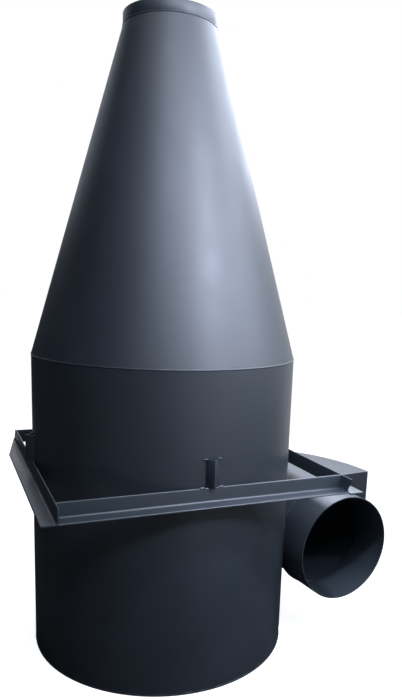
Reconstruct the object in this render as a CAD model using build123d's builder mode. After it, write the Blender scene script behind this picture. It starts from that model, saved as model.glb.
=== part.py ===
from build123d import *

import os
from math import acos, asin, atan2, cos, degrees, hypot, radians, sin

# Cyclone separator standing upside down: its roof lies on the floor, its cone points up.
# Millimetres. The origin is on the barrel's axis, at the roof's face on the floor; +Z is up.
# The inlet opens towards -Y on the +X side.

os.makedirs("parts", exist_ok=True)

# Plates
shell_thickness = 4.0
roof_thickness = 6.0

# Barrel and cone
barrel_diameter = 1000.0
barrel_height = 1135.0
cone_height = 1155.0
dust_outlet_diameter = 338.0
dust_collar_height = 40.0

# Gas outlet
vortex_finder_diameter = 500.0
vortex_finder_length = 720.0

# Inlet pipe, with its centre where it meets the front plate of the scroll
inlet_diameter = 420.0
inlet_length = 161.0
inlet_offset = 630.0
inlet_setback = 205.0
inlet_height = 393.0
inlet_angle = 6.0

# Scroll that leads the gas from the pipe round into the barrel
scroll_top = 638.0
scroll_reach = 243.0
scroll_radius = 600.0
scroll_sweep = 35.0

# Square frame of steel angle round the barrel, a gap above the scroll
frame_gap = 56.0
frame_clearance = 5.0
angle_leg = 55.0
angle_thickness = 5.0
angle_root_radius = 8.0
angle_toe_radius = 4.0

# The right bar runs on past the front bar, and there its upright leg is cut back at its foot.
bar_overhang = 13.0
foot_cut_back = 28.0

# The left bar's flat leg tapers off at its back end, where its upright leg is cut back at its top.
taper_length = 270.0
taper_depth = 47.0
top_cut_back = 40.0

# Bent lugs that tie the frame to the barrel
lug_height = 95.0
lug_thickness = 4.0
lug_stand = 30.0
lug_short_reach = 20.0
lug_long_reach = 27.0

# How the round walls are divided, and how far a cut runs past what it cuts
opening_margin = 30.0
ring_segments = 4
closed_segments = 3
overrun = 20.0

barrel_radius = barrel_diameter / 2
inner_radius = barrel_radius - shell_thickness
dust_radius = dust_outlet_diameter / 2
cone_top = barrel_height + cone_height
finder_radius = vortex_finder_diameter / 2
inlet_radius = inlet_diameter / 2
bore_radius = inlet_radius - shell_thickness
scroll_ceiling = scroll_top - shell_thickness
frame_underside = scroll_top + frame_gap


def upright_plane(turn, origin=(0, 0, 0)):
    """Upright plane whose x runs outwards at an angle from +X and whose y runs up."""
    out = Vector(cos(radians(turn)), sin(radians(turn)), 0)
    return Plane(origin=origin, x_dir=out, z_dir=Vector(out.Y, -out.X, 0))


def turned_wall(profile, start, sweep):
    """Part of a round wall about the barrel's axis, from points (radius, height)."""
    with BuildPart() as wall:
        with BuildSketch(upright_plane(start)):
            with BuildLine():
                Polyline(*profile, close=True)
            make_face()
        revolve(axis=Axis.Z, revolution_arc=sweep)
    return wall


def band(outer, inner, low, high):
    """Section of a straight round wall, for turned_wall."""
    return [(inner, low), (outer, low), (outer, high), (inner, high)]


def save(piece, name):
    piece.part.label = name
    export_step(piece.part, f"parts/{name}.step")


# Solid round space of the barrel, for cutting what is welded against it
with BuildPart() as barrel_core:
    Cylinder(barrel_radius, barrel_height, align=(Align.CENTER, Align.CENTER, Align.MIN))

# The scroll's outer wall runs along two arcs: one about the first centre, then one that comes down on the barrel.
inlet_plane = upright_plane(inlet_angle, (inlet_offset, -inlet_setback, inlet_height))
outer_corner = inlet_plane.from_local_coords((scroll_reach, 0, 0))
first_centre = Vector(outer_corner.X - scroll_radius, outer_corner.Y, 0)
joint_out = Vector(cos(radians(scroll_sweep)), sin(radians(scroll_sweep)), 0)
joint = first_centre + joint_out * scroll_radius
joint_square = joint.X**2 + joint.Y**2
rear_radius = (joint_square - barrel_radius**2) / (2 * (joint.X * joint_out.X + joint.Y * joint_out.Y)
                                                  - 2 * barrel_radius)
rear_centre = joint - joint_out * rear_radius

# The rear arc ends where the wall's inner face meets the barrel.
rear_distance = hypot(rear_centre.X, rear_centre.Y)
end_cosine = ((rear_radius - shell_thickness) ** 2 - barrel_radius**2 - rear_distance**2) / (
    2 * barrel_radius * rear_distance)
end_azimuth = degrees(atan2(-rear_centre.Y, -rear_centre.X) - acos(end_cosine))
end_point = Vector(cos(radians(end_azimuth)), sin(radians(end_azimuth)), 0) * barrel_radius
rear_end = degrees(atan2(end_point.Y - rear_centre.Y, end_point.X - rear_centre.X))
rear_sweep = rear_end - scroll_sweep

# The scroll's section is a U: upright sides down to the trough's centre, and a half-round trough below.
trough_radius = (scroll_reach + inlet_radius) / 2
trough_offset = scroll_reach - trough_radius
trough_height = inlet_height - inlet_radius + trough_radius
start_margin = degrees(asin(trough_radius / scroll_radius))
end_margin = degrees(overrun / rear_radius)

legs = [(first_centre, scroll_radius, -start_margin, scroll_sweep + start_margin),
        (rear_centre, rear_radius, scroll_sweep, rear_sweep)]
plate_back = Plane(origin=inlet_plane.from_local_coords((0, 0, -shell_thickness)), x_dir=inlet_plane.x_dir,
                   z_dir=-inlet_plane.z_dir)


def leg_axis(centre):
    return Axis((centre.X, centre.Y, 0), (0, 0, 1))


def leg_plane(centre, radius, start):
    """Upright plane of the trough's section, with its origin at the trough's centre."""
    out = Vector(cos(radians(start)), sin(radians(start)), 0)
    middle = centre + out * (radius - trough_radius) + Vector(0, 0, trough_height)
    return upright_plane(start, middle)


# Gas space of the scroll and of the pipe, which cuts the opening in the barrel
with BuildPart() as gas_space:
    for centre, radius, start, sweep in legs:
        with BuildSketch(leg_plane(centre, radius, start)):
            Circle(trough_radius - shell_thickness)
            Rectangle(2 * (trough_radius - shell_thickness), scroll_ceiling + overrun - trough_height,
                      align=(Align.CENTER, Align.MIN))
        revolve(axis=leg_axis(centre), revolution_arc=sweep + end_margin)
    split(bisect_by=plate_back, keep=Keep.TOP)
    with BuildSketch(inlet_plane):
        Circle(bore_radius)
    extrude(amount=inlet_length, dir=inlet_plane.z_dir)
    with BuildSketch(inlet_plane):
        Circle(bore_radius)
    extrude(amount=shell_thickness, dir=-inlet_plane.z_dir)

# Barrel wall: full rings above and below the scroll, segments beside it, and the strip under its opening
scroll_foot = inlet_height - inlet_radius - opening_margin
scroll_start = -degrees(asin((inlet_setback + inlet_length) / barrel_radius))
ring_sweep = 360 / ring_segments
closed_sweep = (360 + scroll_start - end_azimuth) / closed_segments

for number in range(ring_segments):
    start = number * ring_sweep + end_azimuth
    lower_wall = turned_wall(band(barrel_radius, inner_radius, roof_thickness, scroll_foot), start, ring_sweep)
    save(lower_wall, f"barrel_lower_wall_{number + 1}")
    upper_wall = turned_wall(band(barrel_radius, inner_radius, scroll_ceiling, barrel_height), start, ring_sweep)
    save(upper_wall, f"barrel_upper_wall_{number + 1}")

for number in range(closed_segments):
    start = end_azimuth + number * closed_sweep
    middle_wall = turned_wall(band(barrel_radius, inner_radius, scroll_foot, scroll_ceiling), start, closed_sweep)
    save(middle_wall, f"barrel_middle_wall_{number + 1}")

with BuildPart() as inlet_side_wall:
    with BuildSketch(upright_plane(scroll_start)):
        with BuildLine():
            Polyline(*band(barrel_radius, inner_radius, scroll_foot, scroll_ceiling), close=True)
        make_face()
    revolve(axis=Axis.Z, revolution_arc=end_azimuth - scroll_start)
    add(gas_space.part, mode=Mode.SUBTRACT)
save(inlet_side_wall, "barrel_inlet_side_wall")

# Cone wall: its outer face runs from the barrel's edge to the dust outlet.
cone_profile = [(inner_radius, barrel_height), (barrel_radius, barrel_height),
                (dust_radius, cone_top), (dust_radius - shell_thickness, cone_top)]
for number in range(ring_segments):
    cone_wall = turned_wall(cone_profile, number * ring_sweep + end_azimuth, ring_sweep)
    save(cone_wall, f"cone_wall_{number + 1}")

with BuildPart() as dust_outlet_collar:
    with BuildSketch(Plane.XY.offset(cone_top)):
        Circle(dust_radius)
        Circle(dust_radius - shell_thickness, mode=Mode.SUBTRACT)
    extrude(amount=dust_collar_height)
save(dust_outlet_collar, "dust_outlet_collar")

# Roof plate on the floor, with the gas outlet through it
with BuildPart() as roof_plate:
    with BuildSketch():
        Circle(barrel_radius)
        Circle(finder_radius, mode=Mode.SUBTRACT)
    extrude(amount=roof_thickness)
save(roof_plate, "roof_plate")

for number in range(2):
    side = turned_wall(band(finder_radius, finder_radius - shell_thickness, 0, vortex_finder_length),
                       number * 180, 180)
    save(side, f"vortex_finder_half_{number + 1}")

# Scroll inlet
with BuildPart() as scroll_top_plate:
    with BuildSketch(Plane.XY.offset(scroll_ceiling)):
        for centre, radius, start, sweep in legs:
            with BuildLine():
                rim = CenterArc((centre.X, centre.Y), radius, start, sweep)
                Line(rim @ 0, (0, 0))
                Line(rim @ 1, (0, 0))
            make_face()
        Circle(barrel_radius, mode=Mode.SUBTRACT)
    extrude(amount=shell_thickness)
    split(bisect_by=plate_back, keep=Keep.TOP)
save(scroll_top_plate, "scroll_top_plate")

for name, (centre, radius, start, sweep) in zip(("front", "rear"), legs):
    with BuildPart() as side_wall:
        with BuildSketch(leg_plane(centre, radius, start)):
            with Locations((trough_radius - shell_thickness, 0)):
                Rectangle(shell_thickness, scroll_ceiling - trough_height, align=(Align.MIN, Align.MIN))
        revolve(axis=leg_axis(centre), revolution_arc=sweep)
        split(bisect_by=plate_back, keep=Keep.TOP)
    save(side_wall, f"scroll_side_wall_{name}")

    with BuildPart() as trough:
        with BuildSketch(leg_plane(centre, radius, start)):
            Circle(trough_radius)
            Circle(trough_radius - shell_thickness, mode=Mode.SUBTRACT)
            Rectangle(2 * trough_radius, trough_radius, align=(Align.CENTER, Align.MIN), mode=Mode.SUBTRACT)
        revolve(axis=leg_axis(centre), revolution_arc=sweep)
        split(bisect_by=plate_back, keep=Keep.TOP)
        add(barrel_core.part, mode=Mode.SUBTRACT)
    save(trough, f"scroll_trough_{name}")

with BuildPart() as inlet_front_plate:
    with BuildSketch(inlet_plane):
        with Locations((trough_offset, trough_height - inlet_height)):
            Circle(trough_radius)
            Rectangle(2 * trough_radius, scroll_top - trough_height, align=(Align.CENTER, Align.MIN))
        Circle(inlet_radius)
        Circle(bore_radius, mode=Mode.SUBTRACT)
    extrude(amount=shell_thickness, dir=-inlet_plane.z_dir)
    add(barrel_core.part, mode=Mode.SUBTRACT)
save(inlet_front_plate, "inlet_front_plate")

with BuildPart() as inlet_pipe:
    with BuildSketch(inlet_plane):
        Circle(inlet_radius)
        Circle(bore_radius, mode=Mode.SUBTRACT)
    extrude(amount=inlet_length, dir=inlet_plane.z_dir)
    add(barrel_core.part, mode=Mode.SUBTRACT)
save(inlet_pipe, "inlet_pipe")

# Frame: the side bars run the full depth, the front and back bars fit between them.
frame_inside = barrel_radius + frame_clearance
frame_reach = frame_inside + angle_leg
flat_top = frame_underside + angle_thickness
leg_top = frame_underside + angle_leg
angle_section = [(frame_inside, frame_underside), (frame_reach, frame_underside),
                 (frame_reach, flat_top), (frame_inside + angle_thickness, flat_top),
                 (frame_inside + angle_thickness, leg_top), (frame_inside, leg_top)]


def hollow_corners(corners):
    """Corners on the hollow side of the angle section, with the root first."""
    hollow = corners.filter_by(lambda corner: corner.X > frame_inside and corner.Y > frame_underside)
    return hollow.sort_by(lambda corner: corner.X + corner.Y)


bars = [("right", 0, frame_reach, frame_reach + bar_overhang), ("back", 90, frame_inside, frame_inside),
        ("left", 180, frame_reach, frame_reach), ("front", 270, frame_inside, frame_inside)]
cut_corners = {"right": (frame_reach + bar_overhang - foot_cut_back, flat_top),
               "left": (frame_reach - top_cut_back, leg_top)}
for name, turn, start_length, end_length in bars:
    with BuildPart() as bar:
        across = upright_plane(turn)
        with BuildSketch(across.offset(-start_length)):
            with BuildLine():
                Polyline(*angle_section, close=True)
            make_face()
            fillet(hollow_corners(vertices())[1:], radius=angle_toe_radius)
            fillet(hollow_corners(vertices())[0], radius=angle_root_radius)
        extrude(amount=start_length + end_length)
        if name in cut_corners:
            with BuildSketch(Plane(origin=across.x_dir * frame_reach, x_dir=across.z_dir, z_dir=-across.x_dir)):
                with BuildLine():
                    Polyline((end_length, flat_top), (end_length, leg_top), cut_corners[name], close=True)
                make_face()
            extrude(amount=angle_leg, mode=Mode.SUBTRACT)
        if name == "left":
            with BuildSketch(Plane.XY.offset(frame_underside)):
                with BuildLine():
                    Polyline((-frame_reach, frame_reach - taper_length), (-frame_reach, frame_reach),
                             (taper_depth - frame_reach, frame_reach), close=True)
                make_face()
            extrude(amount=angle_leg, mode=Mode.SUBTRACT)
    save(bar, f"frame_bar_{name}")

# Lugs: a plate bent to a right angle, its ridge outwards, standing on the bar against the barrel
overlap_share = (lug_stand + lug_thickness) / lug_stand
for name, turn, *_ in bars:
    bar_plane = Plane(origin=(0, 0, leg_top), x_dir=upright_plane(turn).x_dir, z_dir=(0, 0, 1))
    with BuildPart() as lug:
        with BuildSketch(bar_plane):
            with BuildLine():
                Polyline((barrel_radius - lug_thickness, -lug_short_reach * overlap_share),
                         (barrel_radius + lug_stand, 0),
                         (barrel_radius - lug_thickness, lug_long_reach * overlap_share))
                offset(amount=lug_thickness, side=Side.LEFT)
            make_face()
        extrude(amount=lug_height)
        add(barrel_core.part, mode=Mode.SUBTRACT)
    save(lug, f"frame_lug_{name}")
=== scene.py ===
from math import acos, asin, atan2, cos, hypot, pi, radians, sin

import bpy
from mathutils import Matrix, Vector


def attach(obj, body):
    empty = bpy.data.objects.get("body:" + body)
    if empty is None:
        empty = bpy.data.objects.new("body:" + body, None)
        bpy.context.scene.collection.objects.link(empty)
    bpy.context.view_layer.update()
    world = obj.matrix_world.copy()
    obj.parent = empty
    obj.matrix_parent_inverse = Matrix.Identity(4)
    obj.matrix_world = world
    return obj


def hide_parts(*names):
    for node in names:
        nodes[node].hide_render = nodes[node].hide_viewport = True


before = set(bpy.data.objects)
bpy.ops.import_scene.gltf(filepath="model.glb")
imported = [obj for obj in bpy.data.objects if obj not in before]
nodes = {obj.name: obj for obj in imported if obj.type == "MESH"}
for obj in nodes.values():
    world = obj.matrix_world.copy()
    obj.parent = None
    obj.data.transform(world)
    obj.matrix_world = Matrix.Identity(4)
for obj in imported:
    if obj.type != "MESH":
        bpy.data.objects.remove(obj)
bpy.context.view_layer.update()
scene = bpy.context.scene

# Sizes in metres, as in the part's source
sheet = 0.004
roof_sheet = 0.006
barrel_radius = 0.5
barrel_height = 1.135
cone_top = 2.29
dust_radius = 0.169
collar_height = 0.04
finder_radius = 0.25
finder_length = 0.72
pipe_radius = 0.21
pipe_length = 0.161
pipe_centre = Vector((0.63, -0.205, 0.393))
inlet_angle = radians(6)
scroll_top = 0.638
scroll_reach = 0.243
scroll_radius = 0.6
scroll_sweep = radians(35)
frame_underside = 0.694
frame_inside = 0.505
angle_leg = 0.055
angle_thickness = 0.005
root_radius = 0.008
bar_overhang = 0.013
left_taper_length = 0.27
left_taper = 0.047
lug_height = 0.095
lug_stand = 0.03
lug_short_reach = 0.02
lug_long_reach = 0.027

# How far each upright leg is cut back at one end, at its foot and at its top
cut_backs = {"right": (0.028, 0), "left": (0, 0.04)}

# Rounding of edges
toe_radius = 0.0035
mouth_rounding = 0.0015
plate_rounding = 0.001
sheet_rounding = 0.0008
bar_rounding = 0.0007

# Radii of the weld beads, and how a hand-laid bead runs
ridge_weld = 0.0035
thick_weld = 0.003
middle_weld = 0.0028
seam_weld = 0.0026
thin_weld = 0.0022
bead_ripple = 0.0016
tack_ripple = 0.002
bead_step = 0.0025
ring_points_per_metre = 2800

# How deep beads lie in the sheet, how far one stands off it, how far those on the frame stop short of an
# edge, and how high above the pipe's centre the front plate's one starts
ring_sink = 0.0022
collar_sink = 0.0005
seam_sink = 0.0012
plate_lift = 0.0005
weld_stop = 0.003
plate_weld_start = 0.12

# Points round each kind of circle, and steps along the scroll's two arcs
shell_points = 256
plate_ring_points = 512
pipe_points = 160
section_points = 96
first_arc_steps = 30
rear_arc_steps = 44

# How near a surface a point has to be to count as on it: of a curved sheet, of the pipe, of a bar
touch = 0.0004
pipe_touch = 0.0006
bar_touch = 0.0001

# Levels and directions that follow from the sizes
scroll_ceiling = scroll_top - sheet
frame_reach = frame_inside + angle_leg
heel = frame_inside + angle_thickness
flat_top = frame_underside + angle_thickness
leg_top = frame_underside + angle_leg
inlet_out = Vector((cos(inlet_angle), sin(inlet_angle), 0))
inlet_way = Vector((sin(inlet_angle), -cos(inlet_angle), 0))
plate_back = pipe_centre - inlet_way * sheet
outer_corner = pipe_centre + inlet_out * scroll_reach
trough_radius = (scroll_reach + pipe_radius) / 2
trough_height = pipe_centre.z - pipe_radius + trough_radius

# The scroll in plan: a first arc from the front plate, then a rear arc that runs out on the barrel
first_centre = Vector((outer_corner.x - scroll_radius, outer_corner.y, 0))
joint_out = Vector((cos(scroll_sweep), sin(scroll_sweep), 0))
joint = first_centre + joint_out * scroll_radius
rear_radius = (joint.length_squared - barrel_radius**2) / (2 * joint.dot(joint_out) - 2 * barrel_radius)
rear_centre = joint - joint_out * rear_radius
end_azimuth = atan2(-rear_centre.y, -rear_centre.x) - acos(
    ((rear_radius - sheet) ** 2 - barrel_radius**2 - rear_centre.length_squared)
    / (2 * barrel_radius * rear_centre.length))
end_point = Vector((cos(end_azimuth), sin(end_azimuth), 0)) * barrel_radius
rear_end = atan2(end_point.y - rear_centre.y, end_point.x - rear_centre.x)
lead_in = asin(trough_radius / scroll_radius)
past_end = radians(3)
scroll_arcs = ((first_centre, scroll_radius), (rear_centre, rear_radius))


# Working by hand in edit mode

def put_down():
    if bpy.context.object and bpy.context.object.mode == "EDIT":
        bpy.ops.object.mode_set(mode="OBJECT")
    bpy.ops.object.select_all(action="DESELECT")


def take(piece):
    put_down()
    piece.select_set(True)
    bpy.context.view_layer.objects.active = piece


def throw_away(piece):
    take(piece)
    bpy.ops.object.delete()


def start_piece(name):
    """Names the piece in hand and takes its place, turn and size into its mesh."""
    piece = bpy.context.object
    piece.name = name
    piece.data.name = name
    bpy.ops.object.transform_apply(location=True, rotation=True, scale=True)
    return piece


def turn_about_axis(piece, turn):
    """Turns a piece round the barrel's axis to its side of the frame."""
    piece.rotation_euler = (0, 0, turn)
    take(piece)
    start_piece(piece.name)


def open_mesh():
    bpy.ops.object.mode_set(mode="EDIT")
    bpy.ops.mesh.select_all(action="SELECT")


def pick(kind, test):
    """Selects the points, edges or faces of the piece in hand that pass the test."""
    bpy.ops.object.mode_set(mode="EDIT")
    bpy.ops.mesh.select_mode(type={"points": "VERT", "edges": "EDGE", "faces": "FACE"}[kind])
    bpy.ops.mesh.select_all(action="DESELECT")
    bpy.ops.object.mode_set(mode="OBJECT")
    mesh = bpy.context.object.data
    if kind == "points":
        for point in mesh.vertices:
            point.select = test(point.co)
    elif kind == "edges":
        for edge in mesh.edges:
            a, b = (mesh.vertices[i].co for i in edge.vertices)
            edge.select = test(a, b)
    else:
        for face in mesh.polygons:
            face.select = test(face.center, face.normal)
    bpy.ops.object.mode_set(mode="EDIT")


def both(test):
    """Test for an edge, which both of its ends have to pass."""
    return lambda a, b: test(a) and test(b)


def pull(x, y, z):
    """Extrudes what is picked."""
    bpy.ops.mesh.extrude_region_move(TRANSFORM_OT_translate={"value": (x, y, z)})


def close_mesh():
    bpy.ops.mesh.select_all(action="SELECT")
    bpy.ops.mesh.remove_doubles(threshold=0.00002)
    bpy.ops.mesh.normals_make_consistent(inside=False)
    bpy.ops.object.mode_set(mode="OBJECT")


def work(piece, kind, **settings):
    """Adds a modifier, sets it and applies it."""
    take(piece)
    modifier = piece.modifiers.new(kind.lower(), kind)
    for key, value in settings.items():
        setattr(modifier, key, value)
    bpy.ops.object.modifier_apply(modifier=modifier.name)


def thicken(piece):
    """Gives a wall the sheet's thickness, inwards."""
    work(piece, "SOLIDIFY", thickness=sheet, offset=-1, use_even_offset=True, use_quality_normals=True)


def cut(piece, cutter):
    work(piece, "BOOLEAN", operation="DIFFERENCE", solver="EXACT", object=cutter)


def soften(piece, width, segments=2):
    work(piece, "BEVEL", width=width, segments=segments, limit_method="ANGLE", angle_limit=radians(40),
         harden_normals=False)


def smooth(piece, angle=35):
    take(piece)
    bpy.ops.object.shade_smooth_by_angle(angle=radians(angle))


# Camera at the photograph's place: metres and radians, then the photograph's pixels
camera_place = Vector((-0.8107, -2.376, 1.3975))
yaw, pitch, roll = 0.40606, -0.18296, 0.03329
focal_pixels = 645.15
shift_pixels = (-11.43, 56.03)
picture_height = 700
sensor_width = 36

forward = Vector((sin(yaw) * cos(pitch), cos(yaw) * cos(pitch), sin(pitch)))
level_right = Vector((cos(yaw), -sin(yaw), 0))
level_up = level_right.cross(forward)
right = level_right * cos(roll) + level_up * sin(roll)
up = level_up * cos(roll) - level_right * sin(roll)
bpy.ops.object.camera_add()
camera = bpy.context.object
camera.name = "photo_camera"
camera.matrix_world = Matrix((
    (right.x, up.x, -forward.x, camera_place.x),
    (right.y, up.y, -forward.y, camera_place.y),
    (right.z, up.z, -forward.z, camera_place.z),
    (0, 0, 0, 1)))
camera.data.sensor_width = sensor_width
camera.data.sensor_fit = "AUTO"
camera.data.lens = focal_pixels / picture_height * sensor_width
camera.data.shift_x = shift_pixels[0] / picture_height
camera.data.shift_y = shift_pixels[1] / picture_height
camera.data.clip_start = 0.02
camera.data.clip_end = 200
scene.camera = camera


# Paint and weld finishes

gloss_tint = (0.87, 0.885, 0.965, 1)
gloss_spread = 0.05
cloud_scale, gloss_scale, wave_scale, peel_scale = 3.2, 11, 5, 420
wave_depth, peel_depth = 0.002, 0.0005


def linear(code):
    """Linear colour of a written one."""
    values = [int(code[i:i + 2], 16) / 255 for i in (0, 2, 4)]
    return tuple(v / 12.92 if v <= 0.04045 else ((v + 0.055) / 1.055) ** 2.4 for v in values) + (1,)


def paint(name, dark, light, roughness, peel=0.04, wave=0.25):
    """Semi-gloss paint: two near shades in soft clouds, fine peel and a slow wave of the sheet below."""
    finish = bpy.data.materials.new(name)
    finish.use_nodes = True
    tree = finish.node_tree
    shader = tree.nodes["Principled BSDF"]
    place = tree.nodes.new("ShaderNodeTexCoord").outputs["Object"]

    def noise(scale, detail):
        node = tree.nodes.new("ShaderNodeTexNoise")
        node.inputs["Scale"].default_value = scale
        node.inputs["Detail"].default_value = detail
        tree.links.new(place, node.inputs["Vector"])
        return node.outputs["Fac"]

    def bump(height, strength, depth):
        node = tree.nodes.new("ShaderNodeBump")
        node.inputs["Strength"].default_value = strength
        node.inputs["Distance"].default_value = depth
        tree.links.new(height, node.inputs["Height"])
        return node

    clouds = tree.nodes.new("ShaderNodeValToRGB")
    clouds.color_ramp.elements[0].position = 0.3
    clouds.color_ramp.elements[0].color = linear(dark)
    clouds.color_ramp.elements[1].position = 0.7
    clouds.color_ramp.elements[1].color = linear(light)
    tree.links.new(noise(cloud_scale, 5), clouds.inputs["Fac"])
    tree.links.new(clouds.outputs["Color"], shader.inputs["Base Color"])
    gloss = tree.nodes.new("ShaderNodeMapRange")
    gloss.inputs["To Min"].default_value = roughness - gloss_spread
    gloss.inputs["To Max"].default_value = roughness + gloss_spread
    tree.links.new(noise(gloss_scale, 3), gloss.inputs["Value"])
    tree.links.new(gloss.outputs["Result"], shader.inputs["Roughness"])
    shader.inputs["Specular IOR Level"].default_value = 1
    shader.inputs["Specular Tint"].default_value = gloss_tint
    slow = bump(noise(wave_scale, 2), wave, wave_depth)
    fine = bump(noise(peel_scale, 2), peel, peel_depth)
    tree.links.new(slow.outputs["Normal"], fine.inputs["Normal"])
    tree.links.new(fine.outputs["Normal"], shader.inputs["Normal"])
    return finish


shell_paint = paint("shell_paint", "181f26", "1e272f", 0.5)
# The frame's own greener tone, made a little lighter than the shell's paint: painted light from above on
# the flat legs.
frame_paint = paint("frame_paint", "1c242b", "232d35", 0.46, peel=0.08, wave=0.1)
inner_paint = paint("inner_paint", "151920", "1a1f27", 0.5, peel=0.1)
weld_paint = paint("weld_paint", "1a1f27", "242a33", 0.44, peel=0.1)


def done(piece, finish, slot, *stands_for):
    """Paints a piece, lets it ride on the body and hides the nodes it stands for."""
    piece.data.materials.clear()
    piece.data.materials.append(finish)
    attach(piece, "root")
    if stands_for:
        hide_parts(*stands_for)


# Weld beads, laid along a joint and roughened

weld_ripple = bpy.data.textures.new("weld_ripple", "CLOUDS")
weld_ripple.noise_scale = 0.007
weld_smoothing = 80


def roughen(weld, depth):
    work(weld, "DISPLACE", texture=weld_ripple, strength=depth, mid_level=0.5, texture_coords="LOCAL")


def finish_bead(bead, slot):
    """Turns a smooth bead into a hand-laid weld."""
    roughen(bead, bead_ripple)
    smooth(bead, weld_smoothing)
    done(bead, weld_paint, slot)


def ring_bead(name, radius, height, thickness, slot):
    put_down()
    bpy.ops.mesh.primitive_torus_add(location=(0, 0, height), major_radius=radius, minor_radius=thickness,
                                     major_segments=round(radius * ring_points_per_metre), minor_segments=8)
    finish_bead(start_piece(name), slot)


def line_bead(name, start, end, thickness, slot):
    """Straight bead between two points."""
    way = Vector(end) - Vector(start)
    put_down()
    bpy.ops.mesh.primitive_cylinder_add(vertices=8, radius=thickness, depth=way.length,
                                        location=(Vector(start) + Vector(end)) / 2,
                                        rotation=way.to_track_quat("Z", "Y").to_euler())
    bead = start_piece(name)
    pick("edges", lambda a, b: (a - b).length > way.length * 0.9)
    bpy.ops.mesh.subdivide(number_cuts=round(way.length / bead_step))
    bpy.ops.object.mode_set(mode="OBJECT")
    finish_bead(bead, slot)


def seam_bead(piece, name, on_seam, thickness, slot, cuts=3):
    """Lays a bead along the edges of a piece that pass the test."""
    take(piece)
    pick("edges", on_seam)
    bpy.ops.mesh.duplicate()
    bpy.ops.mesh.separate(type="SELECTED")
    bpy.ops.object.mode_set(mode="OBJECT")
    line = next(found for found in bpy.context.selected_objects if found != piece)
    take(line)
    line.name = line.data.name = name
    open_mesh()
    bpy.ops.mesh.delete(type="ONLY_FACE")
    bpy.ops.mesh.select_all(action="SELECT")
    bpy.ops.mesh.remove_doubles(threshold=0.0003)
    bpy.ops.mesh.subdivide(number_cuts=cuts)
    bpy.ops.object.mode_set(mode="OBJECT")
    bpy.ops.object.convert(target="CURVE")
    line.data.bevel_depth = thickness
    line.data.bevel_resolution = 2
    line.data.use_fill_caps = True
    bpy.ops.object.convert(target="MESH")
    finish_bead(line, slot)


def tack_weld(name, place, size):
    """Blob of weld, longer than it is high."""
    put_down()
    bpy.ops.mesh.primitive_ico_sphere_add(subdivisions=4, radius=1, location=place)
    bpy.context.object.scale = size
    blob = start_piece(name)
    roughen(blob, tack_ripple)
    return blob


# Walls and cutters

def round_wall(name, radius, low, high):
    """Open cylinder round the barrel's axis."""
    put_down()
    bpy.ops.mesh.primitive_cylinder_add(vertices=shell_points, radius=radius, depth=high - low,
                                        end_fill_type="NOTHING", location=(0, 0, (low + high) / 2))
    return start_piece(name)


def pipe_wall(name, radius, start, length, fill="NOTHING"):
    """Cylinder along the inlet, from a place before or behind the front plate."""
    put_down()
    bpy.ops.mesh.primitive_cylinder_add(vertices=pipe_points, radius=radius, depth=length,
                                        end_fill_type=fill,
                                        location=pipe_centre + inlet_way * (start + length / 2),
                                        rotation=inlet_way.to_track_quat("Z", "Y").to_euler())
    return start_piece(name)


def u_section(name, radius, foot_side):
    """U of the scroll's section, where the first arc starts, with the tops picked that pass the test."""
    middle = first_centre + Vector((scroll_radius - trough_radius, 0, trough_height))
    put_down()
    bpy.ops.mesh.primitive_circle_add(vertices=section_points, radius=radius, location=middle,
                                      rotation=(pi / 2, 0, 0))
    piece = start_piece(name)
    pick("points", lambda p: p.z > trough_height + bar_touch)
    bpy.ops.mesh.delete(type="VERT")
    pick("points", lambda p: p.z > trough_height - bar_touch and foot_side(p.x - middle.x))
    return piece


def sweep_scroll(further):
    """Turns the section along both arcs of the scroll, from before the front plate."""
    pick("points", lambda p: True)
    bpy.ops.transform.rotate(value=lead_in, orient_axis="Z", center_override=first_centre)
    bpy.ops.mesh.spin(steps=first_arc_steps, angle=scroll_sweep + lead_in, center=first_centre,
                      axis=(0, 0, -1))
    bpy.ops.mesh.spin(steps=rear_arc_steps, angle=rear_end - scroll_sweep + further, center=rear_centre,
                      axis=(0, 0, -1))


def cut_at_plate(fill=False):
    bpy.ops.mesh.select_all(action="SELECT")
    bpy.ops.mesh.bisect(plane_co=plate_back, plane_no=inlet_way, clear_outer=True, use_fill=fill)


put_down()
bpy.ops.mesh.primitive_cylinder_add(vertices=shell_points, radius=barrel_radius, depth=barrel_height,
                                    location=(0, 0, barrel_height / 2))
barrel_core = start_piece("barrel_core")

gas_space = u_section("gas_space", trough_radius - sheet, lambda x: True)
pull(0, 0, scroll_ceiling - trough_height)
bpy.ops.mesh.edge_face_add()
sweep_scroll(past_end)
bpy.ops.mesh.select_all(action="SELECT")
bpy.ops.mesh.fill_holes(sides=0)
cut_at_plate(fill=True)
close_mesh()
pipe_space = pipe_wall("pipe_space", pipe_radius - sheet, -sheet, pipe_length + sheet, fill="NGON")

# Scroll wall: outer side and half-round trough in one bent sheet
scroll_wall = u_section("scroll_wall", trough_radius, lambda x: x > 0)
pull(0, 0, scroll_ceiling - trough_height)
sweep_scroll(0)
cut_at_plate()
close_mesh()
thicken(scroll_wall)
cut(scroll_wall, barrel_core)


def on_barrel(p):
    return abs(hypot(p.x, p.y) - barrel_radius) < touch


def on_trough(p):
    """True for a point on the outer face of the half-round trough."""
    for middle, radius in scroll_arcs:
        across = hypot(p.x - middle.x, p.y - middle.y) - radius + trough_radius
        if abs(hypot(across, p.z - trough_height) - trough_radius) < touch:
            return True
    return False


def on_front_plate(p):
    return (p - plate_back).dot(inlet_way) > -touch


def at_outer_corner(p):
    return (p - outer_corner).dot(inlet_out) > -touch


def on_arc(p, middle, radius):
    return abs(hypot(p.x - middle.x, p.y - middle.y) - radius) < touch


def scroll_front(a, b):
    """True for an edge of the scroll's outline on the front plate."""
    return both(on_front_plate)(a, b) and (both(on_trough)(a, b) or both(at_outer_corner)(a, b))


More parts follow.
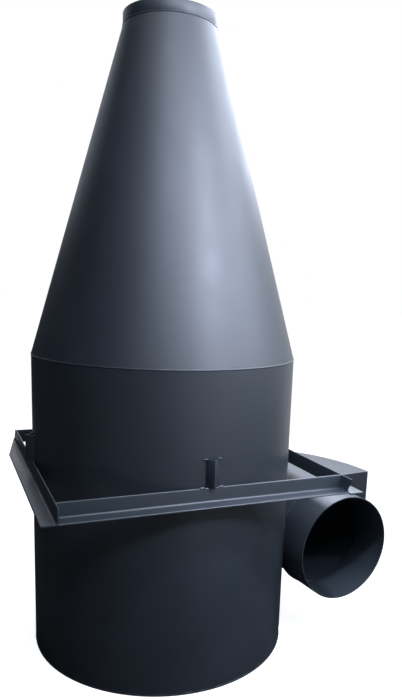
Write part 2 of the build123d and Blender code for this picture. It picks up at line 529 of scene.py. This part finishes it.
def scroll_rim(a, b):
    """True for an edge along the outer top of the scroll's upright side."""
    at_top = min(a.z, b.z) > scroll_ceiling - touch
    return at_top and any(on_arc(a, *arc) and on_arc(b, *arc) for arc in scroll_arcs)


seam_bead(scroll_wall, "scroll_barrel_weld", both(lambda p: on_barrel(p) and on_trough(p)), middle_weld,
          "inlet_paint", cuts=4)
seam_bead(scroll_wall, "scroll_front_weld", scroll_front, thin_weld, "inlet_paint", cuts=24)
seam_bead(scroll_wall, "scroll_top_weld", scroll_rim, thin_weld, "inlet_paint", cuts=5)
smooth(scroll_wall)
done(scroll_wall, shell_paint, "inlet_paint", "scroll_side_wall_front", "scroll_side_wall_rear",
     "scroll_trough_front", "scroll_trough_rear")

# Barrel: one rolled sheet from the roof plate up to the cone, open towards the scroll
barrel = round_wall("barrel", barrel_radius, roof_sheet, barrel_height)
thicken(barrel)
cut(barrel, gas_space)
cut(barrel, pipe_space)
smooth(barrel)
done(barrel, shell_paint, "shell_paint", *[name for name in nodes if name.startswith("barrel_")])

# Cone and the collar of the dust outlet
put_down()
bpy.ops.mesh.primitive_cone_add(vertices=shell_points, radius1=barrel_radius, radius2=dust_radius,
                                depth=cone_top - barrel_height, end_fill_type="NOTHING",
                                location=(0, 0, (barrel_height + cone_top) / 2))
cone = start_piece("cone")
thicken(cone)
smooth(cone)
done(cone, shell_paint, "shell_paint", *[name for name in nodes if name.startswith("cone_wall")])

collar = round_wall("dust_collar", dust_radius, cone_top, cone_top + collar_height)
thicken(collar)
soften(collar, sheet_rounding)
smooth(collar)
done(collar, shell_paint, "shell_paint", "dust_outlet_collar")

# Vortex finder inside, and the roof plate on the floor
finder = round_wall("vortex_finder", finder_radius, 0, finder_length)
thicken(finder)
soften(finder, sheet_rounding)
smooth(finder)
done(finder, inner_paint, "inner_steel", "vortex_finder_half_1", "vortex_finder_half_2")

put_down()
bpy.ops.mesh.primitive_circle_add(vertices=shell_points, radius=barrel_radius)
roof = start_piece("roof")
open_mesh()
bpy.ops.mesh.extrude_edges_move()
bpy.ops.transform.resize(value=(finder_radius / barrel_radius, finder_radius / barrel_radius, 1))
bpy.ops.mesh.select_all(action="SELECT")
pull(0, 0, roof_sheet)
close_mesh()
soften(roof, plate_rounding)
smooth(roof)
done(roof, shell_paint, "shell_paint", "roof_plate")

# Inlet pipe, cut to the barrel's curve where the two meet
pipe = pipe_wall("inlet_pipe_stub", pipe_radius, 0, pipe_length)
thicken(pipe)
cut(pipe, barrel_core)


def pipe_foot(p):
    """True for a point of the pipe's outer edge where it stands on the front plate or the barrel."""
    along = (p - pipe_centre).dot(inlet_way)
    out = (p - pipe_centre - inlet_way * along).length
    return abs(out - pipe_radius) < pipe_touch and (along < touch or on_barrel(p))


seam_bead(pipe, "inlet_pipe_weld", both(pipe_foot), thick_weld, "inlet_paint")
soften(pipe, mouth_rounding, segments=3)
smooth(pipe)
done(pipe, shell_paint, "inlet_paint", "inlet_pipe")


# Frame bars: an angle drawn as one upright leg, whose flat leg is pulled out of its foot

def end_wedge(foot, top):
    """Space that cuts back the end of an upright leg, from a place at its foot to one at its top."""
    room = 0.065
    put_down()
    bpy.ops.mesh.primitive_cube_add(size=1, location=(frame_reach, foot - room / 2, flat_top + room / 2),
                                    scale=(0.2, room, room))
    wedge = start_piece("end_wedge")
    pick("points", lambda p: p.y > foot - 0.001 and p.z > flat_top + room / 2)
    bpy.ops.transform.translate(value=(0, (top - foot) * room / (leg_top - flat_top), 0))
    bpy.ops.object.mode_set(mode="OBJECT")
    return wedge


def at_root(a, b):
    """True for the inner edge between the two legs."""
    return (min(a.z, b.z) > flat_top - bar_touch and max(a.z, b.z) < flat_top + bar_touch
            and abs(a.x - heel) + abs(b.x - heel) < bar_touch)


def at_toe(a, b):
    """True for the long inner edge at the end of either leg."""
    flat_toe = min(a.x, b.x) > heel + root_radius - 0.001 and min(a.z, b.z) > flat_top - bar_touch
    upright_toe = min(a.z, b.z) > leg_top - bar_touch and min(a.x, b.x) > heel - bar_touch
    return abs(a.y - b.y) > 0.1 and (flat_toe or upright_toe)


# Side, turn, and the bar's reach to either end from the middle of its side
bars = (("right", 0, frame_reach, frame_reach + bar_overhang), ("back", pi / 2, frame_inside, frame_inside),
        ("left", pi, frame_reach, frame_reach), ("front", -pi / 2, frame_inside, frame_inside))
for side, turn, start_length, end_length in bars:
    put_down()
    bpy.ops.mesh.primitive_cube_add(size=1, location=(frame_inside + angle_thickness / 2,
                                                      (start_length - end_length) / 2,
                                                      frame_underside + angle_leg / 2),
                                    scale=(angle_thickness, start_length + end_length, angle_leg))
    bar = start_piece("angle_bar_" + side)
    open_mesh()
    bpy.ops.mesh.bisect(plane_co=(0, 0, flat_top), plane_no=(0, 0, 1))
    pick("faces", lambda c, n: n.x > 0.9 and c.z < flat_top)
    pull(frame_reach - heel, 0, 0)
    if side == "left":
        bpy.ops.mesh.select_all(action="SELECT")
        bpy.ops.mesh.bisect(plane_co=(0, left_taper_length - end_length, 0), plane_no=(0, 1, 0))
        pick("points", lambda p: p.x > frame_reach - 0.001 and p.y < 0.001 - end_length)
        bpy.ops.transform.translate(value=(-left_taper, 0, 0))
    pick("edges", at_root)
    bpy.ops.mesh.bevel(offset=root_radius, segments=6, affect="EDGES")
    pick("edges", at_toe)
    bpy.ops.mesh.bevel(offset=toe_radius, segments=4, affect="EDGES")
    close_mesh()
    if side in cut_backs:
        foot_back, top_back = cut_backs[side]
        wedge = end_wedge(foot_back - end_length, top_back - end_length)
        cut(bar, wedge)
        throw_away(wedge)
    turn_about_axis(bar, turn)
    soften(bar, bar_rounding)
    smooth(bar)
    done(bar, frame_paint, "frame_paint", "frame_bar_" + side)

# Lugs: a strip bent to a ridge, standing on the bar. Both sides run into the barrel's wall and are cut to
# its curve.
lug_depth = lug_stand + sheet
lug_seat = barrel_radius - sheet
lug_short = -lug_short_reach * lug_depth / lug_stand
lug_long = lug_long_reach * lug_depth / lug_stand
for side, turn, *_ in bars:
    way = Vector((lug_depth, -lug_short, 0))
    put_down()
    middle = (lug_seat + way.x / 2, lug_short / 2, leg_top + lug_height / 2)
    bpy.ops.mesh.primitive_plane_add(size=1, location=middle, rotation=(pi / 2, 0, atan2(way.y, way.x)))
    bpy.context.object.scale = (way.length, lug_height, 1)
    lug = start_piece("lug_" + side)
    pick("edges", lambda a, b: a.y > -0.001 and b.y > -0.001)
    pull(-lug_depth, lug_long, 0)
    close_mesh()
    thicken(lug)
    turn_about_axis(lug, turn)
    cut(lug, barrel_core)
    soften(lug, sheet_rounding)
    smooth(lug)
    done(lug, frame_paint, "frame_paint", "frame_lug_" + side)

# Tack welds that hold each lug: two on the barrel and two on the bar, with the place and size of each
lug_tacks = (
    ((barrel_radius + 0.001, -0.021, leg_top + lug_height - 0.001), (0.005, 0.0085, 0.0035)),
    ((barrel_radius + 0.001, 0.028, leg_top + lug_height), (0.004, 0.007, 0.0035)),
    ((frame_inside + 0.001, -0.034, leg_top - 0.0005), (0.0055, 0.0145, 0.004)),
    ((frame_inside + 0.001, 0.034, leg_top), (0.0055, 0.0135, 0.0038)))
for side, turn, *_ in bars:
    blobs = [tack_weld(f"tack_{side}_{number}", place, size)
             for number, (place, size) in enumerate(lug_tacks)]
    take(blobs[0])
    for blob in blobs[1:]:
        blob.select_set(True)
    bpy.ops.object.join()
    tacks = start_piece("lug_welds_" + side)
    turn_about_axis(tacks, turn)
    smooth(tacks, weld_smoothing)
    done(tacks, weld_paint, "frame_paint")

# Fillet welds in the frame's corners: up the inner corner, and out along the flat leg
for number, (x_side, y_side) in enumerate(((1, 1), (-1, 1), (-1, -1), (1, -1)), 1):
    corner = Vector((x_side * frame_inside, y_side * heel, flat_top))
    upright_end = (corner.x, corner.y, leg_top - weld_stop)
    flat_end = (corner.x, y_side * (frame_reach - weld_stop), flat_top)
    line_bead(f"corner_weld_{number}_upright", corner, upright_end, middle_weld, "frame_paint")
    line_bead(f"corner_weld_{number}_flat", corner, flat_end, middle_weld, "frame_paint")

# Round welds of shell, collar and roof
ring_bead("cone_barrel_weld", barrel_radius - ring_sink, barrel_height, ridge_weld, "shell_paint")
ring_bead("collar_weld", dust_radius - collar_sink, cone_top, middle_weld, "shell_paint")
ring_bead("roof_weld", barrel_radius - ring_sink, roof_sheet, thick_weld, "shell_paint")
ring_bead("vortex_finder_weld", finder_radius, roof_sheet, thick_weld, "inner_steel")


# Straight seams of the rolled sheets, at the back

def on_wall(azimuth, radius, height):
    """Place of a seam, sunk a little into the sheet."""
    radius -= seam_sink
    return (radius * cos(radians(azimuth)), radius * sin(radians(azimuth)), height)


barrel_seam, cone_seam = 118, 152
line_bead("barrel_seam_weld", on_wall(barrel_seam, barrel_radius, roof_sheet),
          on_wall(barrel_seam, barrel_radius, barrel_height), seam_weld, "shell_paint")
line_bead("cone_seam_weld", on_wall(cone_seam, barrel_radius, barrel_height),
          on_wall(cone_seam, dust_radius, cone_top), seam_weld, "shell_paint")

# Welds on the barrel along the scroll's top plate, and down the front plate's inner edge
plate_azimuth = atan2(inlet_way.y, inlet_way.x) + acos(pipe_centre.dot(inlet_way) / barrel_radius)


def beside_plate(p):
    return plate_azimuth < atan2(p.y, p.x) < end_azimuth


put_down()
bpy.ops.mesh.primitive_circle_add(vertices=plate_ring_points, radius=barrel_radius + plate_lift,
                                  location=(0, 0, scroll_top + plate_lift))
plate_ring = start_piece("plate_ring")
seam_bead(plate_ring, "scroll_plate_weld", both(beside_plate), middle_weld, "inlet_paint", cuts=2)
throw_away(plate_ring)
plate_foot = Vector((cos(plate_azimuth), sin(plate_azimuth), 0)) * barrel_radius
line_bead("front_plate_weld", plate_foot + Vector((0, 0, pipe_centre.z + plate_weld_start)),
          plate_foot + Vector((0, 0, scroll_top)), thick_weld, "inlet_paint")

# Plates that keep the part's own flat solids
for name in ("scroll_top_plate", "inlet_front_plate"):
    nodes[name].data.materials.clear()
    nodes[name].data.materials.append(shell_paint)

for cutter in (barrel_core, gas_space, pipe_space):
    throw_away(cutter)


# Floor and surroundings, white where they are seen, without being a brighter light on the object

def seen_rays(tree):
    """One for rays that show a background: from the camera, off gloss and through glass."""
    path = tree.nodes.new("ShaderNodeLightPath")
    total = path.outputs["Is Camera Ray"]
    for name in ("Is Glossy Ray", "Is Transmission Ray"):
        add = tree.nodes.new("ShaderNodeMath")
        add.operation = "ADD"
        add.use_clamp = True
        tree.links.new(total, add.inputs[0])
        tree.links.new(path.outputs[name], add.inputs[1])
        total = add.outputs[0]
    return total


put_down()
bpy.ops.mesh.primitive_plane_add(size=60)
floor = start_piece("studio_floor")
floor_finish = bpy.data.materials.new("floor_finish")
floor_finish.use_nodes = True
floor_tree = floor_finish.node_tree
floor_shader = floor_tree.nodes["Principled BSDF"]
floor_shader.inputs["Base Color"].default_value = (0.5, 0.5, 0.5, 1)
floor_shader.inputs["Roughness"].default_value = 0.9
floor_shader.inputs["Specular IOR Level"].default_value = 0.1
floor.data.materials.append(floor_finish)

# The floor shows the shadow near the object, and turns white before it meets the background
shadow_ends, white_starts = 1.5, 6
floor_place = floor_tree.nodes.new("ShaderNodeTexCoord")
away = floor_tree.nodes.new("ShaderNodeVectorMath")
away.operation = "LENGTH"
whiteness = floor_tree.nodes.new("ShaderNodeMapRange")
whiteness.inputs["From Min"].default_value = shadow_ends
whiteness.inputs["From Max"].default_value = white_starts
whiteness.inputs["To Min"].default_value = 0.9
whiteness.inputs["To Max"].default_value = 1
level = floor_tree.nodes.new("ShaderNodeMath")
level.operation = "MULTIPLY"
lift = floor_tree.nodes.new("ShaderNodeEmission")
join = floor_tree.nodes.new("ShaderNodeAddShader")
floor_tree.links.new(floor_place.outputs["Object"], away.inputs[0])
floor_tree.links.new(away.outputs["Value"], whiteness.inputs["Value"])
floor_tree.links.new(seen_rays(floor_tree), level.inputs[0])
floor_tree.links.new(whiteness.outputs["Result"], level.inputs[1])
floor_tree.links.new(level.outputs[0], lift.inputs["Strength"])
floor_tree.links.new(floor_shader.outputs[0], join.inputs[0])
floor_tree.links.new(lift.outputs[0], join.inputs[1])
floor_tree.links.new(join.outputs[0], floor_tree.nodes["Material Output"].inputs["Surface"])

world = bpy.data.worlds.new("studio")
scene.world = world
world.use_nodes = True
sky = world.node_tree
ambient = sky.nodes["Background"]
ambient.inputs["Color"].default_value = (0.8, 0.87, 1.0, 1)
ambient.inputs["Strength"].default_value = 0.05
white = sky.nodes.new("ShaderNodeBackground")
white.inputs["Color"].default_value = (1, 1, 1, 1)
white.inputs["Strength"].default_value = 1
blend = sky.nodes.new("ShaderNodeMixShader")
sky.links.new(seen_rays(sky), blend.inputs["Fac"])
sky.links.new(ambient.outputs[0], blend.inputs[1])
sky.links.new(white.outputs[0], blend.inputs[2])
sky.links.new(blend.outputs[0], sky.nodes["World Output"].inputs["Surface"])


# Dark cards round the object and on the floor, as in a studio: only the paint's gloss shows them

card_finish = bpy.data.materials.new("card_finish")
card_finish.use_nodes = True
card_shader = card_finish.node_tree.nodes["Principled BSDF"]
card_shader.inputs["Base Color"].default_value = (0.01, 0.01, 0.01, 1)
card_shader.inputs["Roughness"].default_value = 1


def around(azimuth, distance, height):
    return Vector((cos(radians(azimuth)) * distance, sin(radians(azimuth)) * distance, height))


def finish_card(name):
    card = start_piece(name)
    card.data.materials.append(card_finish)
    card.visible_camera = card.visible_diffuse = card.visible_shadow = card.visible_transmission = False


def dark_card(name, azimuth, distance, width, high):
    """Upright card on the floor."""
    bpy.ops.mesh.primitive_plane_add(size=1, location=around(azimuth, distance, high / 2),
                                     rotation=(pi / 2, 0, radians(azimuth + 90)))
    bpy.context.object.scale = (width, high, 1)
    finish_card(name)


put_down()
dark_card("left_card", 160, 2.2, 8, 5)
dark_card("front_card", -118, 3.4, 5, 5)
dark_card("right_card", -30, 3.2, 6, 0.8)
bpy.ops.mesh.primitive_circle_add(vertices=48, radius=3, fill_type="NGON", location=(0, 0, 0.003))
finish_card("floor_card")


# Studio lamps

studio_blue = (0.78, 0.85, 1)


def lamp(name, azimuth, height, distance, size, power, aim, spread):
    """Soft rectangular lamp round the object, aimed at it."""
    place = around(azimuth, distance, height)
    bpy.ops.object.light_add(type="AREA", location=place)
    light = bpy.context.object
    light.name = name
    light.data.shape = "RECTANGLE"
    light.data.size, light.data.size_y = size
    light.data.energy = power
    light.data.color = studio_blue
    light.data.spread = radians(spread)
    light.rotation_euler = (Vector(aim) - place).to_track_quat("-Z", "Y").to_euler()


# Name, azimuth, height, distance, height aimed at, and power of each large soft box
softboxes = (("front_left", -100, 4.0, 3.0, 2.1, 23), ("front_right", -50, 4.2, 3.0, 2.1, 5),
             ("right_low", -30, 2.8, 3.4, 2.0, 20), ("right", 0, 4.2, 3.0, 2.1, 23),
             ("rear_right", 40, 3.4, 3.2, 2.0, 23))
for name, azimuth, height, distance, aim_height, power in softboxes:
    lamp(name + "_softbox", azimuth, height, distance, (2.4, 1.6), power, (0, 0, aim_height), spread=80)
lamp("rim_softbox", 60, 4.2, 2.8, (1.2, 1.2), 125, (0, 0, 1.8), spread=180)
lamp("back_left_softbox", 115, 2.8, 2.6, (1.2, 1.6), 2.5, (0, 0, 1.1), spread=100)
lamp("key_lamp", -65, 3.3, 3.2, (0.5, 0.5), 21, (0, 0, 1.3), spread=80)
lamp("inlet_lamp", -90, 5.4, 2.2, (0.4, 0.4), 4.2, (0.55, -0.5, 0.45), spread=20)

scene.view_settings.view_transform = "Standard"
